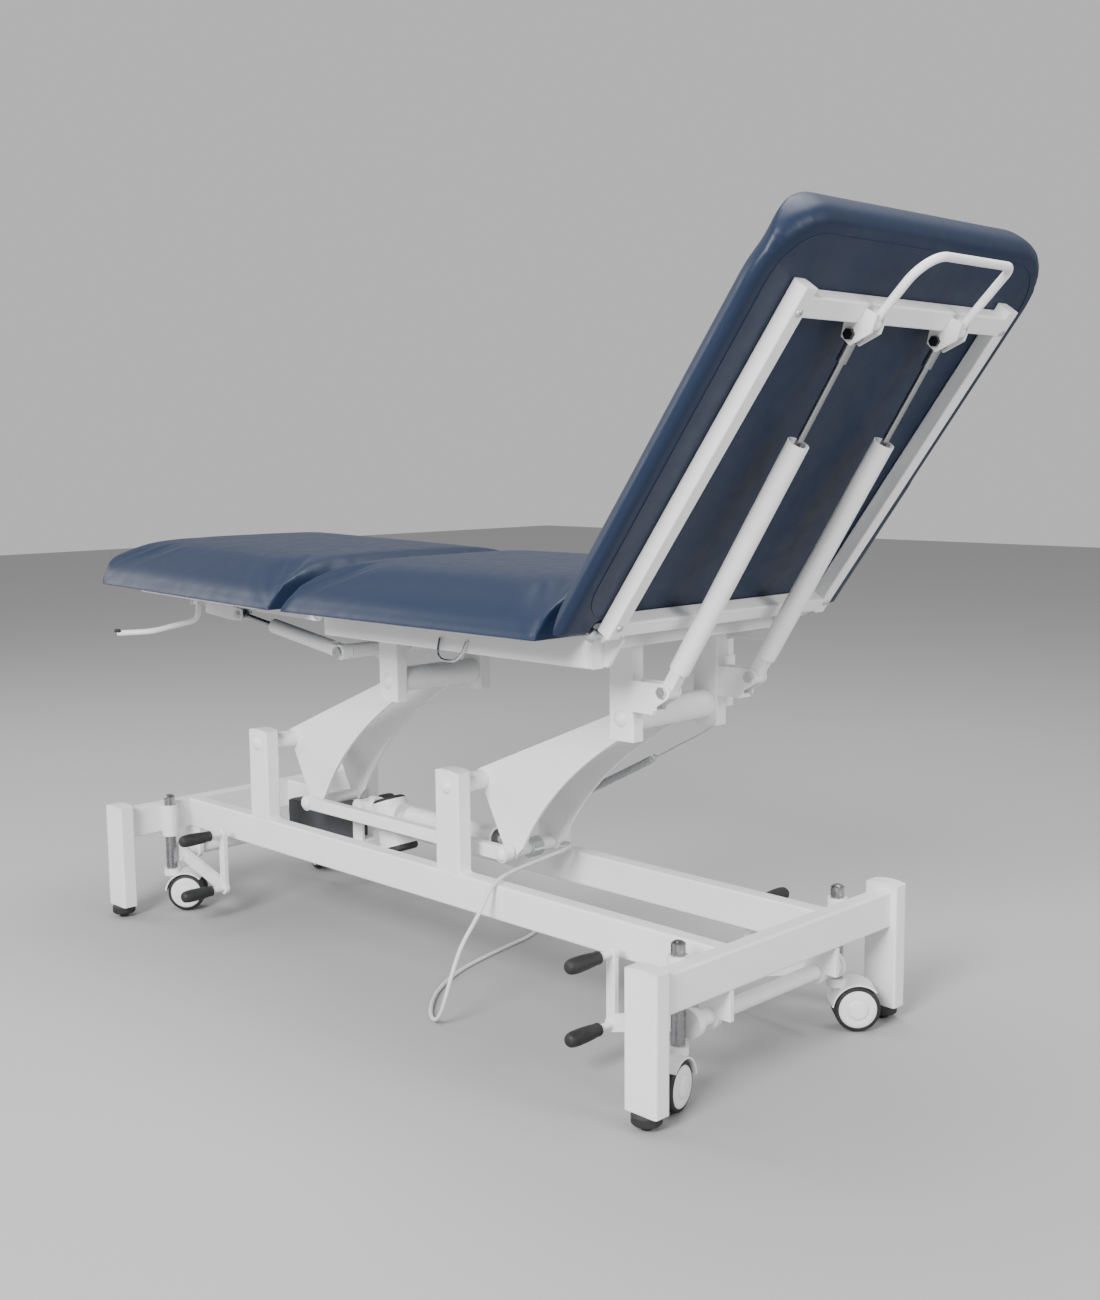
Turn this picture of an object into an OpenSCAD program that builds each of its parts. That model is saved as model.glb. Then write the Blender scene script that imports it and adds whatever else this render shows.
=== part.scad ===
// Electric examination couch on a parallelogram lift: welded base with pedal operated castors,
// two bellcranks joined by a connecting rod and pushed by a linear actuator, a seat frame that
// stays level, a strutted backrest and a strutted leg section.
// Millimetres, +Z up, +X towards the backrest, origin on the floor under the middle of the couch.

/* [Couch] */
// Width across the cushions
couch_w = 686; // [660:1:700]
// Height of the flat underside of the cushions above the floor
deck_z = 670; // [668:1:672]
// Thickness of the cushions at their crown
cushion_t = 80; // [70:1:90]
// Foot end of the leg cushion, measured from the middle of the base
foot_end_x = -722; // [-730:1:-715]
// Corner radius of the free ends of the cushions in plan
corner_r = 75; // [50:1:90]
// Angle of the backrest above the seat as drawn
back_angle = 54.1; // [30:0.1:60]
// Rise of the leg section above the seat as drawn
leg_tilt = 1.4; // [0:0.1:3]

/* [Base] */
// Half length of the base over the legs
base_half_l = 740; // [730:1:760]
// Half width of the base over the legs
base_half_w = 310; // [300:1:330]
// Long side of the rectangular base tube
tube_w = 60; // [60:1:60]
// Short side of the rectangular base tube
tube_t = 30; // [30:1:30]
// Middle of each long rail from the centre line
rail_y = 123; // [118:1:128]
// Underside of the base frame above the floor
base_z = 160; // [160:1:165]
// Middle of the foot end pair of posts
post_foot_x = -446; // [-450:1:-440]
// Middle of the head end pair of posts
post_head_x = 116; // [112:1:120]

/* [Lift] */
// Height of the lower pivots
pivot_z = 368; // [364:1:372]
// Lift arm from the lower to the upper pivot, along the couch
arm_dx = 380; // [376:1:384]
// Lift arm from the lower to the upper pivot, upwards
arm_dz = 160; // [158:1:162]
// Rod pin from the lower pivot, along the couch
crank_dx = 68; // [66:1:70]
// Rod pin below the lower pivot
crank_dz = 118; // [116:1:120]
// Distance of the bellcrank plates from the centre line
plate_y = 50; // [48:1:52]

/* [Castors] */
// Wheel radius
wheel_r = 37.5; // [35:0.5:38]
// Height of the raised wheels above the floor
wheel_gap = 1; // [1:0.5:3]
// Distance of the castor stems from the cross axis of the base
stem_x = 683; // [680:1:684]
// Distance of the castor stems from the centre line
stem_y = 197; // [195:1:200]
// Trail of the castors
trail = 32; // [28:1:33]

/* [Hidden] */
$fn = 48;

// Colours
coat_white = [0.93, 0.93, 0.92];
vinyl_navy = [0.16, 0.22, 0.33];
rubber_black = [0.06, 0.06, 0.06];
box_grey = [0.28, 0.28, 0.3];
bright_steel = [0.75, 0.76, 0.78];
cord_white = [0.85, 0.85, 0.84];
cord_grey = [0.55, 0.56, 0.57];

// The origin lies under the middle of the couch, which is this far head side of the base middle
origin_x = 128.2;

// Running clearance of a pin in its bore
fit = 0.05;

// Base
rail_h = tube_w;
base_top = base_z + rail_h;
cross_x = base_half_l - 25;
leg_x = base_half_l - tube_w / 2;
leg_y = base_half_w - tube_t / 2;
leg_bottom = 24;
leg_top = 224;
post_top = 390;
corner = 4;
weld_r = 9;

// Lower pivots and links
lower_pin_r = 8;
upper_pin_r = 10;
link_pin_r = 8;
pivot_xs = [post_foot_x, post_head_x];
plate_t = 6;
a_tube_r = 17;
b_tube_r = 22.5;
c_tube_r = 11;
rod_y = -66;
rod_bar_t = 18;
rod_bar_h = 24;
hinge_bx = post_head_x + arm_dx;
hinge_bz = pivot_z + arm_dz;
link_cx = post_head_x + crank_dx;
link_cz = pivot_z - crank_dz;

// Actuator, drawn along its own axis from the rear pivot
act_x = -285;
act_z = 248;
act_tilt = atan2(link_cz - act_z, link_cx - act_x);
act_len = norm([link_cx - act_x, link_cz - act_z]);
act_tube_r = 19;
act_bore_r = 16.5;
act_rod_r = 8;
motor_at = 100;

// Hangers and seat frame
hanger_y = 100.5;
hanger_xs = [post_foot_x + arm_dx, hinge_bx];
hanger_bottom = 493;
seat_rail_y = 218.5;
frame_t = 25;
seat_frame_x0 = -90;
seat_frame_x1 = 548;

// Backrest, drawn flat: x runs up the back, z towards the patient, zero at the hinge
back_x = 571;
back_z = 676;
back_panel = deck_z - back_z;
back_len = 675;
back_tube_y = 246.5;
strut_y = 104;
strut_foot = [584, 578];
strut_top = [520, -30];
strut_top_world = back_point(strut_top);
back_strut_len = norm(strut_top_world - strut_foot);
back_strut_angle = atan2(strut_top_world[1] - strut_foot[1], strut_top_world[0] - strut_foot[0]);
release_pivot = [546, -45];
release_tilt = 8.7;
release_len = 112;

// Leg section
leg_hinge = [-105, 655];
leg_tube_y = 219.5;
leg_end_x = -700;
leg_strut_y = 111;
leg_strut_foot = [-196, 570];
leg_strut_top = [-522, 617];
leg_strut_angle = atan2(leg_strut_top[1] - leg_strut_foot[1], leg_strut_foot[0] - leg_strut_top[0]);
leg_lever = [-621, -150, 640];

// Castors and pedals
wheel_z = wheel_r + wheel_gap;
stem_r = 11;
shaft_x = 690;
shaft_z = 114;
shaft_r = 12.5;
pedal_x = 530;
pedal_low = 68;
pedal_high = 180;
pedal_y = 170;

// Mains lead: leaves the control box, crosses the near rail, hangs outside it, ends in a coil
mains_r = 3.5;
mains_route = [
  [-322, 48, 200], [-292, 48, 200], [-250, 54, 198], [-120, 66, 196], [40, 76, 204],
  [150, 90, 232], [192, 90, 240], [208, 60, 239], [214, 10, 236], [220, -50, 233],
  [228, -100, 230], [236, -122, 228], [240, -138, 226], [240, -152, 210], [240, -180, 178],
  [240, -215, 140], [238, -236, 96], [232, -248, 50], [218, -250, 14], [196, -244, 5],
  [150, -210, 4], [90, -140, 4], [40, -40, 4], [10, 80, 4], [-10, 180, 4],
  [-36, 232, 5], [-60, 262, 7]
];
mains_coil = [-105, 262];
mains_coil_r = 45;
mains_coil_h = 22;
mains_plug = [-148, 284, 0];

// Curly handset lead: fat tube from the control box to the handset
curl_r = 7;
curl_route = [
  [-324.4, 80, 204], [-290, 81, 205], [-200, 86, 208], [-80, 88, 220], [20, 90, 246],
  [95, 92, 273], [228, 94, 340], [363, 96, 410], [440, 97, 452], [472, 104, 470],
  [486, 120, 484], [493, 132, 500], [493, 133, 508], [493, 133, 519.8]
];
handset_x = 493;
handset_y = 133;
handset_z = 520;

function rot2(v, a) = [v[0] * cos(a) - v[1] * sin(a), v[0] * sin(a) + v[1] * cos(a)];
function back_point(v) = [back_x, back_z] + rot2(v, back_angle);
function bezier(p, q, r, t) = (1 - t) * (1 - t) * p + 2 * t * (1 - t) * q + t * t * r;
function unit(v) = v / norm(v);

// ---------- shared shapes ----------

module placed() { translate([-origin_x, 0, 0]) children(); }

module both_sides() {
  children();
  mirror([0, 1, 0]) children();
}

module both_ends() {
  children();
  mirror([1, 0, 0]) children();
}

// Rectangle with true round corners
module round_rect(w, h, r) {
  square([w - 2 * r, h], center = true);
  square([w, h - 2 * r], center = true);
  for (sx = [-1, 1], sy = [-1, 1]) translate([sx * (w / 2 - r), sy * (h / 2 - r)]) circle(r, $fn = 24);
}

module bar_x(x0, x1, y, z, w, h, r = corner) {
  translate([x0, y, z]) rotate([90, 0, 90]) linear_extrude(x1 - x0) round_rect(w, h, r);
}

module bar_y(y0, y1, x, z, w, h, r = corner) {
  translate([x, y1, z]) rotate([90, 0, 0]) linear_extrude(y1 - y0) round_rect(w, h, r);
}

module bar_z(z0, z1, x, y, w, h, r = corner) {
  translate([x, y, z0]) linear_extrude(z1 - z0) round_rect(w, h, r);
}

// Round bar along Y between two y values
module pin_y(r, y0, y1, x, z) {
  translate([x, y1, z]) rotate([90, 0, 0]) cylinder(r = r, h = y1 - y0);
}

// Plate along Y from a flat outline in X and Z
module plate_xz(y0, y1) {
  translate([0, y1, 0]) rotate([90, 0, 0]) linear_extrude(y1 - y0) children();
}

// Low dome on the XY plane
module dome(r, h) {
  big = (r * r + h * h) / (2 * h);
  rotate_extrude() intersection() {
    translate([0, h - big]) circle(big, $fn = 96);
    square([r, h]);
  }
}

module dome_y(r, h, x, y, z, side) {
  translate([x, y, z]) rotate([-90 * side, 0, 0]) dome(r, h);
}

// Headed pin through a pair of members, with a dome at each end
module headed_pin(r, head_r, head_h, y, x, z) {
  pin_y(r, -y, y, x, z);
  dome_y(head_r, head_h, x, y, z, 1);
  dome_y(head_r, head_h, x, -y, z, -1);
}

// Round rod between two points
module rod_between(p, q, r) {
  d = q - p;
  l = norm(d);
  translate(p) rotate([0, acos(d[2] / l), atan2(d[1], d[0])]) cylinder(r = r, h = l, $fn = 32);
}

// Round tube swept along a list of points; no route here runs along the sweep_up direction
sweep_up = [-0.5, 0.5, 0.7];
function ring_tangent(path, i) =
  unit(path[min(i + 1, len(path) - 1)] - path[max(i - 1, 0)]);
function ring_point(path, i, r, a) =
  let (t = ring_tangent(path, i),
       side = unit(cross(t, sweep_up)),
       up = cross(t, side))
  path[i] + r * (cos(a) * side + sin(a) * up);
module swept_tube(path, r, sides) {
  n = len(path);
  points = [for (i = [0 : n - 1], k = [0 : sides - 1]) ring_point(path, i, r, k * 360 / sides)];
  walls = [for (i = [0 : n - 2], k = [0 : sides - 1])
    [i * sides + k, (i + 1) * sides + k,
     (i + 1) * sides + (k + 1) % sides, i * sides + (k + 1) % sides]];
  first = [for (k = [0 : sides - 1]) k];
  last = [for (k = [0 : sides - 1]) (n - 1) * sides + sides - 1 - k];
  polyhedron(points, concat(walls, [first, last]), convexity = 8);
}

// Bent wire or rod: straight stretches joined by bends of a given reach
function bend_path(p, reach) = concat([p[0]],
  [for (i = [1 : len(p) - 2], t = [0 : 0.2 : 1])
    bezier(p[i] + reach * unit(p[i - 1] - p[i]), p[i], p[i] + reach * unit(p[i + 1] - p[i]), t)],
  [p[len(p) - 1]]);
module bent_rod(points, r, reach) { swept_tube(bend_path(points, reach), r, 16); }

// Smooth curve through the points of a route, two rings to a span
function spline(a, b, c, d, t) = 0.5 * (2 * b + (c - a) * t + (2 * a - 5 * b + 4 * c - d) * t * t
  + (3 * b - a - 3 * c + d) * t * t * t);
function smooth_route(p, steps) = let (n = len(p)) concat(
  [for (i = [0 : n - 2], s = [0 : steps - 1])
    spline(p[max(i - 1, 0)], p[i], p[i + 1], p[min(i + 2, n - 1)], s / steps)], [p[n - 1]]);

// ---------- base ----------

module base_rails() {
  color(coat_white) placed() {
    both_sides() bar_x(-cross_x, cross_x, rail_y, base_z + rail_h / 2, tube_t, rail_h);
    both_ends() bar_y(-leg_y + tube_t / 2, leg_y - tube_t / 2, cross_x, base_z + rail_h / 2,
                      tube_t, rail_h);
  }
}

module base_legs() {
  color(coat_white) placed() both_sides() both_ends()
    bar_z(leg_bottom, leg_top, leg_x, leg_y, tube_w, tube_t);
}

// Concave weld fillet in the corner of a post and its rail
module weld_fillet() {
  difference() {
    square(weld_r);
    translate([weld_r, weld_r]) circle(weld_r);
  }
}

module base_posts() {
  color(coat_white) placed() both_sides() for (x = pivot_xs) {
    difference() {
      bar_z(base_top, post_top, x, rail_y, tube_w, tube_t);
      pin_y(lower_pin_r + fit, rail_y - tube_t, rail_y + tube_t, x, pivot_z);
    }
    for (side = [-1, 1]) translate([x, 0, base_top]) scale([side, 1, 1])
      plate_xz(rail_y - tube_t / 2 + corner, rail_y + tube_t / 2 - corner)
        translate([tube_w / 2, 0]) weld_fillet();
  }
}

// Plastic cap with a low crown on the end of an upright tube
module tube_cap(x, y, z) {
  crown_r = 120;
  intersection() {
    bar_z(z, z + 8, x, y, tube_w, tube_t);
    translate([x, y + tube_t, z + 8 - crown_r]) rotate([90, 0, 0])
      cylinder(r = crown_r, h = 2 * tube_t, $fn = 360);
  }
}

module tube_caps() {
  color(coat_white) placed() both_sides() {
    for (x = [-leg_x, leg_x]) tube_cap(x, leg_y, leg_top);
    for (x = pivot_xs) tube_cap(x, rail_y, post_top);
  }
}

module levelling_feet() {
  color(rubber_black) placed() both_sides() both_ends() translate([leg_x, leg_y, 0])
    rotate_extrude() polygon([[0, 0], [8, 0], [9, 1], [9, 8], [20, 8], [22.5, 10.5],
                              [22.5, 21], [19.5, leg_bottom], [0, leg_bottom]]);
}

module lower_pivot_pins() {
  color(coat_white) placed() for (x = pivot_xs)
    headed_pin(lower_pin_r, 13, 7, rail_y + tube_t / 2, x, pivot_z);
}

module castor_sleeves() {
  color(coat_white) placed() both_sides() both_ends() difference() {
    union() {
      translate([stem_x, stem_y, 155]) cylinder(r = 16, h = 64);
      translate([stem_x + 4, stem_y - 10, 160]) cube([cross_x - tube_t / 2 - stem_x - 4, 20, 56]);
    }
    translate([stem_x, stem_y, 150]) cylinder(r = stem_r + fit, h = 75);
  }
}

module pedal_bearings() {
  color(coat_white) placed() both_sides() both_ends() plate_xz(128, 136) difference() {
    union() {
      translate([shaft_x, shaft_z]) circle(19);
      translate([shaft_x - 19, shaft_z]) square([40 + 19, base_z - shaft_z]);
    }
    translate([shaft_x, shaft_z]) circle(shaft_r + fit);
  }
}

module actuator_mount() {
  color(coat_white) placed() {
    bar_y(-rail_y + tube_t / 2, rail_y - tube_t / 2, act_x, 172, 30, 24);
    both_sides() plate_xz(15.5, 20.5) {
      translate([act_x, act_z]) circle(15);
      translate([act_x - 15, 180]) square([30, act_z - 180]);
    }
    pin_y(6, -23, 23, act_x, act_z);
  }
}

module control_box() {
  color(box_grey) placed() {
    translate([-440, 50, 160]) linear_extrude(56) round_rect(230, 92, 8);
    translate([-440, 50, 216]) linear_extrude(2) round_rect(222, 84, 6);
    for (x = [-532, -372]) translate([x, 92, 166]) cube([24, rail_y - tube_t / 2 - 92, 4]);
  }
}

// ---------- mains lead ----------

module mains_strain_relief() {
  color(box_grey) placed() translate([-325, 48, 200]) rotate([0, 90, 0])
    rotate_extrude()
      polygon([[0, 0], [7, 0], [7, 4], [6, 5], [4.2, 30], [mains_r, 30], [mains_r, 2], [0, 2]]);
}

module mains_cord() {
  color(cord_white) placed() swept_tube(smooth_route(mains_route, 3), mains_r, 10);
}

module mains_cord_coil() {
  color(cord_white) placed() translate([mains_coil[0], mains_coil[1], mains_coil_h / 2])
    rotate_extrude() translate([mains_coil_r - 11, 0]) round_rect(22, mains_coil_h, 8);
}

module mains_plug() {
  color(cord_white) placed() translate(mains_plug) {
    translate([0, 0, 19]) rotate([0, -90, 0]) linear_extrude(36) round_rect(38, 44, 12);
    translate([-48, 0, 19]) rotate([0, 90, 0]) cylinder(r = 18, h = 13);
    for (side = [-1, 1]) translate([-67, side * 9.5, 19]) rotate([0, 90, 0])
      cylinder(r = 2.4, h = 20, $fn = 24);
  }
}

// ---------- lift ----------

// Plate outline about the lower pivot: a straight upper edge and one concave lower curve
lower_curve = [for (i = [0 : 14])
  bezier([crank_dx + 31, 12 - crank_dz], [170, 33], [arm_dx - 8, arm_dz - 20], i / 14)];

module bellcrank_outline() {
  polygon(concat([[-7, 19], [arm_dx - 8, arm_dz + 18]], [for (i = [14 : -1 : 0]) lower_curve[i]],
                 [[crank_dx + 14, -crank_dz - 4], [crank_dx - 14, -crank_dz + 3], [0, -14]]));
  circle(20);
  translate([arm_dx, arm_dz]) circle(20);
  translate([crank_dx, -crank_dz]) circle(15);
}

module bellcrank(x) {
  difference() {
    translate([x, 0, pivot_z]) {
      both_sides() plate_xz(plate_y - plate_t / 2, plate_y + plate_t / 2) bellcrank_outline();
      pin_y(a_tube_r, -107.6, 107.6, 0, 0);
      pin_y(b_tube_r, -87.6, 87.6, arm_dx, arm_dz);
      pin_y(c_tube_r, -plate_y, plate_y, crank_dx, -crank_dz);
      pin_y(link_pin_r, -76, -plate_y, crank_dx, -crank_dz);
      dome_y(13, 7, crank_dx, -76, -crank_dz, -1);
    }
    pin_y(lower_pin_r + fit, -110, 110, x, pivot_z);
    pin_y(upper_pin_r + 2 * fit, -90, 90, x + arm_dx, pivot_z + arm_dz);
  }
}

module bellcrank_foot() { color(coat_white) placed() bellcrank(post_foot_x); }

module bellcrank_head() { color(coat_white) placed() bellcrank(post_head_x); }

module connecting_rod() {
  x0 = post_foot_x + crank_dx;
  color(coat_white) placed() difference() {
    union() {
      bar_x(x0, link_cx, rod_y, link_cz, rod_bar_t, rod_bar_h, 2);
      for (x = [x0, link_cx]) pin_y(15, rod_y - 9, rod_y + 9, x, link_cz);
    }
    for (x = [x0, link_cx]) pin_y(link_pin_r + 2 * fit, rod_y - 20, rod_y + 20, x, link_cz);
  }
}

module actuator_placed() {
  translate([act_x - origin_x, 0, act_z]) rotate([0, -act_tilt, 0]) children();
}

module actuator_motor() {
  color(coat_white) actuator_placed() difference() {
    union() {
      pin_y(13, -14.8, 14.8, 0, 0);
      bar_x(0, 40, 0, 0, 29, 24);
      translate([30, 0, 0]) rotate([0, 90, 0]) cylinder(r = 22, h = 85);
      translate([motor_at + 4, 0, -62]) rotate([0, -20, 0]) cylinder(r1 = 37, r2 = 33, h = 88);
    }
    pin_y(6 + fit, -20, 20, 0, 0);
    translate([125, 0, 0]) rotate([0, 90, 0]) cylinder(r = act_bore_r, h = 40);
    translate([motor_at + 4, 0, -62]) rotate([0, -20, 0]) translate([0, 0, 88])
      cylinder(r = 32, h = 30);
  }
}

module actuator_caps() {
  color(rubber_black) actuator_placed() translate([motor_at + 4, 0, -62]) rotate([0, -20, 0]) {
    translate([0, 0, 88]) rotate_extrude() polygon([[0, 0], [31, 0], [31, 3], [26, 6], [0, 6]]);
    translate([0, 0, -12]) rotate_extrude() polygon([[0, 0], [30, 0], [34, 4], [34, 12], [0, 12]]);
  }
}

module actuator_tube() {
  color(coat_white) actuator_placed() translate([140, 0, 0]) rotate([0, 90, 0]) difference() {
    union() {
      cylinder(r = act_tube_r, h = 240);
      translate([0, 0, 222]) cylinder(r = act_tube_r + 2, h = 18);
    }
    translate([0, 0, 8]) cylinder(r = act_bore_r, h = 240);
  }
}

module actuator_rod() {
  color(bright_steel) actuator_placed() translate([act_len, 0, 0]) difference() {
    union() {
      pin_y(18, -12, 12, 0, 0);
      translate([-250, 0, 0]) rotate([0, 90, 0]) cylinder(r = act_rod_r, h = 240);
    }
    pin_y(c_tube_r + 2 * fit, -20, 20, 0, 0);
  }
}

// ---------- seat frame ----------

module seat_frame() {
  top = deck_z - frame_t / 2;
  color(coat_white) placed() {
    both_sides() bar_x(seat_frame_x0, seat_frame_x1, seat_rail_y, deck_z - 25, frame_t, 50, 3);
    for (x = hanger_xs) bar_y(-seat_rail_y + 6, seat_rail_y - 6, x, top, 50, frame_t, 3);
    bar_y(-seat_rail_y + 6, seat_rail_y - 6, seat_frame_x1 - frame_t / 2, top, frame_t, frame_t, 3);
  }
}

module hangers() {
  color(coat_white) placed() both_sides() for (x = hanger_xs) difference() {
    bar_z(hanger_bottom, deck_z - frame_t, x, hanger_y, 50, frame_t, 3);
    pin_y(upper_pin_r + fit, 80, 120, x, hinge_bz);
  }
}

module upper_pivot_pins() {
  color(coat_white) placed() for (x = hanger_xs)
    headed_pin(upper_pin_r, 14, 7, hanger_y + frame_t / 2, x, hinge_bz);
}

// Folded bracket on the head end hanger that carries the foot of one back strut, with its bolt
module strut_bracket() {
  for (y = [90, 115]) plate_xz(y, y + 3) {
    translate([521, 548]) square([50, 42]);
    translate([strut_foot[0], strut_foot[1]]) circle(13);
    polygon([[560, 548], [strut_foot[0] + 6, 566], [strut_foot[0], 590], [560, 590]]);
  }
  translate([521, 90, 542]) cube([44, 28, 6]);
  pin_y(5, 87, 122, strut_foot[0], strut_foot[1]);
  for (y = [84, 118]) plate_xz(y, y + 6) translate(strut_foot) circle(9, $fn = 6);
}

module strut_brackets() { color(coat_white) placed() both_sides() strut_bracket(); }

module leg_strut_anchor() {
  x = leg_strut_foot[0];
  z = leg_strut_foot[1];
  color(coat_white) placed() {
    pin_y(13.5, -98, 98, x, z);
    pin_y(7, -127, 127, x, z);
    both_sides() plate_xz(25, 31) {
      translate([x, z]) circle(20);
      polygon([[x - 16, z + 12], [x + 12, z - 16], [-45, 640], [-45, 645], [-91, 645]]);
    }
    both_sides() plate_xz(125, 129) translate(leg_strut_foot) circle(11);
  }
}

module hinge_ears() {
  hx = leg_hinge[0];
  hz = leg_hinge[1];
  color(coat_white) placed() both_sides() {
    plate_xz(200, 206) difference() {
      union() {
        polygon([[500, 622], [556, 622], [584, 663], [back_x, 684], [560, 684], [549, 669],
                 [548.4, 644.8], [500, 644.8]]);
        translate([back_x, back_z]) circle(14);
      }
      translate([back_x, back_z]) circle(8 + fit);
    }
    plate_xz(201, 206) difference() {
      union() {
        polygon([[-60, 622], [-60, 644.8], [-91.4, 644.8], [-91.4, 660], [-108, 660], [-116, 650],
                 [-95, 622]]);
        translate([hx, hz - 1]) circle(13);
      }
      translate([hx, hz]) circle(6 + fit);
    }
  }
}

// Cushion cross section in Y and Z on a flat base, with a full crown and round sides
crown_n = 20;
cushion_section = concat(
  [for (i = [-crown_n : crown_n]) let (s = sin(i * 90 / crown_n))
    [s * couch_w / 2, cushion_t * sqrt(1 - pow(abs(s), 4))]]);

module section_along(x0, x1) {
  translate([x0, 0, 0]) rotate([90, 0, 90]) linear_extrude(x1 - x0) polygon(cushion_section);
}

// Side profile of a cushion in X and Z: flat base, round upper edges
module side_profile(x0, x1, r0, r1) {
  h = cushion_t + 2;
  polygon(concat([[x0, -1], [x1, -1]],
    [for (a = [0 : 10 : 90]) [x1 - r1 + r1 * cos(a), h - r1 + r1 * sin(a)]],
    [for (a = [90 : 10 : 180]) [x0 + r0 + r0 * cos(a), h - r0 + r0 * sin(a)]]));
}

module seat_cushion() {
  color(vinyl_navy) placed() translate([0, 0, deck_z]) intersection() {
    section_along(-78, 548);
    plate_xz(-400, 400) side_profile(-78, 548, 45, 35);
  }
}

module paper_hook() {
  y = -seat_rail_y - frame_t / 2 - 2.5;
  color(bright_steel) placed()
    bent_rod([[218, y, 640], [222, y - 12, 608], [276, y - 12, 608], [282, y, 640]], 2.5, 22);
}

// ---------- handset ----------

module handset_holder() {
  color(coat_white) placed() {
    translate([474, 113, 543]) cube([38, 8, 70]);
    for (x = [468, 514.5]) translate([x, 113, 543]) cube([3.5, 25, 60]);
    translate([468, 113, 543]) cube([50, 8, 60]);
  }
}

module handset() {
  color(coat_white) placed() translate([handset_x, handset_y, handset_z]) difference() {
    linear_extrude(110) round_rect(42, 22, 8);
    translate([0, 11, 76]) rotate([90, 0, 0])
      linear_extrude(12, center = true) round_rect(22.6, 44.6, 4);
  }
}

module handset_rocker() {
  color(cord_grey) placed() translate([handset_x, handset_y + 7.4, handset_z + 76]) {
    rotate([-90, 0, 0]) linear_extrude(5) round_rect(21, 42, 4);
    translate([-10, 0, 0]) rotate([0, 90, 0]) cylinder(r = 2, h = 20);
  }
}

module handset_cord() {
  color(cord_grey) placed() {
    swept_tube(smooth_route(curl_route, 3), curl_r, 12);
  }
}

// ---------- backrest ----------

module back_placed() {
  translate([back_x - origin_x, 0, back_z]) rotate([0, -back_angle, 0]) children();
}

module back_frame() {
  low = back_panel - frame_t / 2;
  color(coat_white) back_placed() {
    both_sides() bar_x(15, 577, back_tube_y, low, frame_t, frame_t, 3);
    for (x = [30.5, 551]) bar_y(-back_tube_y + 6, back_tube_y - 6, x, low,
                                x < 100 ? 25 : 30, frame_t, 3);
    both_sides() plate_xz(234, 240) difference() {
      union() {
        circle(14);
        polygon([[-4, -13], [24, -31], [50, -31], [50, -8], [25, -7], [8, 11]]);
      }
      circle(8 + fit);
    }
    both_sides() for (y = [92, 112]) plate_xz(y, y + 4) difference() {
      polygon([[556, -9], [562, -50], [538, -56], [508, -38], [510, -20], [536, -9]]);
      translate(strut_top) circle(5 + fit);
    }
  }
}

module back_strut_bolts() {
  color(rubber_black) back_placed() both_sides() {
    pin_y(5, 90, 118, strut_top[0], strut_top[1]);
    for (y = [86, 116]) plate_xz(y, y + 6) translate(strut_top) circle(8, $fn = 6);
  }
}

module back_hinge_pins() {
  color(bright_steel) back_placed() both_sides() {
    pin_y(8, 197, 259, 0, 0);
    dome_y(12, 7, 0, 259, 0, 1);
    pin_y(11, 194, 197, 0, 0);
  }
}

module back_cushion() {
  color(vinyl_navy) back_placed() difference() {
    translate([0, 0, back_panel]) intersection() {
      section_along(-14, back_len);
      plate_xz(-400, 400) polygon(concat([[5, -1], [-10, 16], [33, 52], [77, 82]],
        [for (a = [90 : -10 : 0]) [back_len - 40 + 40 * cos(a), 42 + 40 * sin(a)]],
        [[back_len, -1]]));
      union() {
        translate([-20, -couch_w / 2, -1]) cube([back_len + 20 - corner_r, couch_w, 90]);
        translate([0, -couch_w / 2 + corner_r, -1]) cube([back_len, couch_w - 2 * corner_r, 90]);
        both_sides() translate([back_len - corner_r, couch_w / 2 - corner_r, -1])
          cylinder(r = corner_r, h = 90);
      }
    }
    both_sides() translate([-20, 192, back_panel - 2]) cube([46, 80, 32]);
  }
}

module back_release_handle() {
  arm = strut_y;
  near_r = 45;
  far_r = 14;
  color(coat_white) back_placed() translate([release_pivot[0], 0, release_pivot[1]])
    rotate([0, release_tilt, 0]) {
      rod_between([0, -arm, 0], [release_len - near_r, -arm, 0], 6);
      rod_between([0, arm, 0], [release_len - far_r, arm, 0], 6);
      rod_between([release_len, near_r - arm, 0], [release_len, arm - far_r, 0], 6);
      translate([release_len - near_r, near_r - arm, 0]) rotate([0, 0, -90])
        rotate_extrude(angle = 90) translate([near_r, 0]) circle(6, $fn = 32);
      translate([release_len - far_r, arm - far_r, 0])
        rotate_extrude(angle = 90) translate([far_r, 0]) circle(6, $fn = 32);
      for (y = [-arm, arm]) difference() {
        pin_y(8.5, y - 6, y + 6, 0, 0);
        pin_y(3, y - 10, y + 10, 0, 0);
      }
    }
}

module back_strut_placed() {
  translate([strut_foot[0] - origin_x, 0, strut_foot[1]]) rotate([0, -back_strut_angle, 0]) children();
}

module back_strut_tubes() {
  color(coat_white) back_strut_placed() both_sides() {
    difference() {
      union() {
        pin_y(12, strut_y - 9.5, strut_y + 9.5, 0, 0);
        bar_x(0, 42, strut_y, 0, 19, 20, 2);
      }
      pin_y(5 + fit, strut_y - 12, strut_y + 12, 0, 0);
    }
    translate([40, strut_y, 0]) rotate([0, 90, 0]) difference() {
      cylinder(r = 16, h = 389);
      translate([0, 0, 6]) cylinder(r = 14, h = 390);
    }
  }
}

module back_strut_rods() {
  color(bright_steel) back_strut_placed() both_sides() difference() {
    translate([0, strut_y, 0]) {
      pin_y(10.5, -6, 6, back_strut_len, 0);
      translate([back_strut_len - 464, 0, 0]) rotate([0, 90, 0]) cylinder(r = 5, h = 456);
      translate([back_strut_len - 40, 0, 0]) rotate([0, 90, 0]) cylinder(r = 7.5, h = 30);
    }
    pin_y(5 + fit, strut_y - 12, strut_y + 12, back_strut_len, 0);
  }
}

// ---------- leg section ----------

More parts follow.
